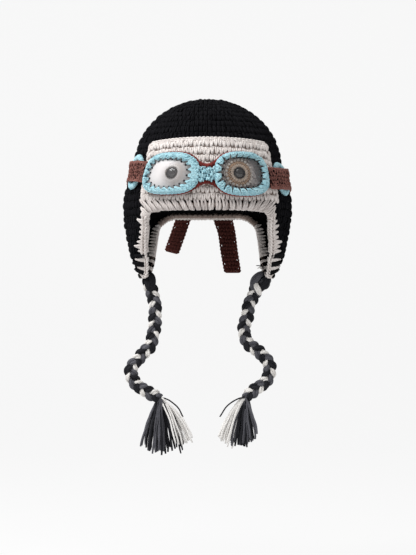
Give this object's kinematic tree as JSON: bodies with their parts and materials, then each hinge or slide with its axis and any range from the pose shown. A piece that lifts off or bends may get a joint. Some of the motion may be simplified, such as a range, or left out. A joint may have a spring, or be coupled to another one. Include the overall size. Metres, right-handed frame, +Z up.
{
  "type": "crochet trapper hat",
  "caption": "Crocheted trapper hat with hanging earflaps, sewn-on goggles over bead eyes, a strap knotted behind, braided ties and yarn tassels.",
  "frame": {"origin": "inside top of the crown, where a head carries the hat", "axes": "+Z up, the goggles face -Y, +X is the viewer's right"},
  "size_m": [0.2028, 0.2256, 0.4235],
  "materials": {
    "black_yarn": "matt plied yarn in double crochet",
    "cream_yarn": "matt plied yarn in double crochet",
    "blue_yarn": "matt plied yarn in blanket stitch",
    "brown_yarn": "matt plied yarn in mesh crochet",
    "eye_yarn": "matt yarn, cream round tan",
    "braid_yarn": "thick bundles of black, grey and white yarn",
    "black_bead": "polished",
    "clear_lens": "clear soft plastic sheet with a hazy sheen"
  },
  "bodies": {
    "root": {"crown": "black_yarn", "ear_flap_left": "black_yarn", "ear_flap_right": "black_yarn", "front_panel": "cream_yarn", "rim_edging": "cream_yarn", "goggle_backing": "brown_yarn", "goggle_frame_left": "blue_yarn", "goggle_frame_right": "blue_yarn", "goggle_bridge": "blue_yarn", "lens_left": "clear_lens", "lens_right": "clear_lens", "eye_disc_left": "eye_yarn", "eye_disc_right": "eye_yarn", "eye_bead_left": "black_bead", "eye_bead_right": "black_bead", "strap_left": "brown_yarn", "strap_right": "brown_yarn", "strap_knot": "brown_yarn", "strap_tail_left": "brown_yarn", "strap_tail_right": "brown_yarn", "strap_ring_left": "blue_yarn", "strap_ring_right": "blue_yarn", "tie_left": "braid_yarn", "tie_right": "braid_yarn", "tassel_left": "braid_yarn", "tassel_right": "braid_yarn"}
  },
  "joints": []
}
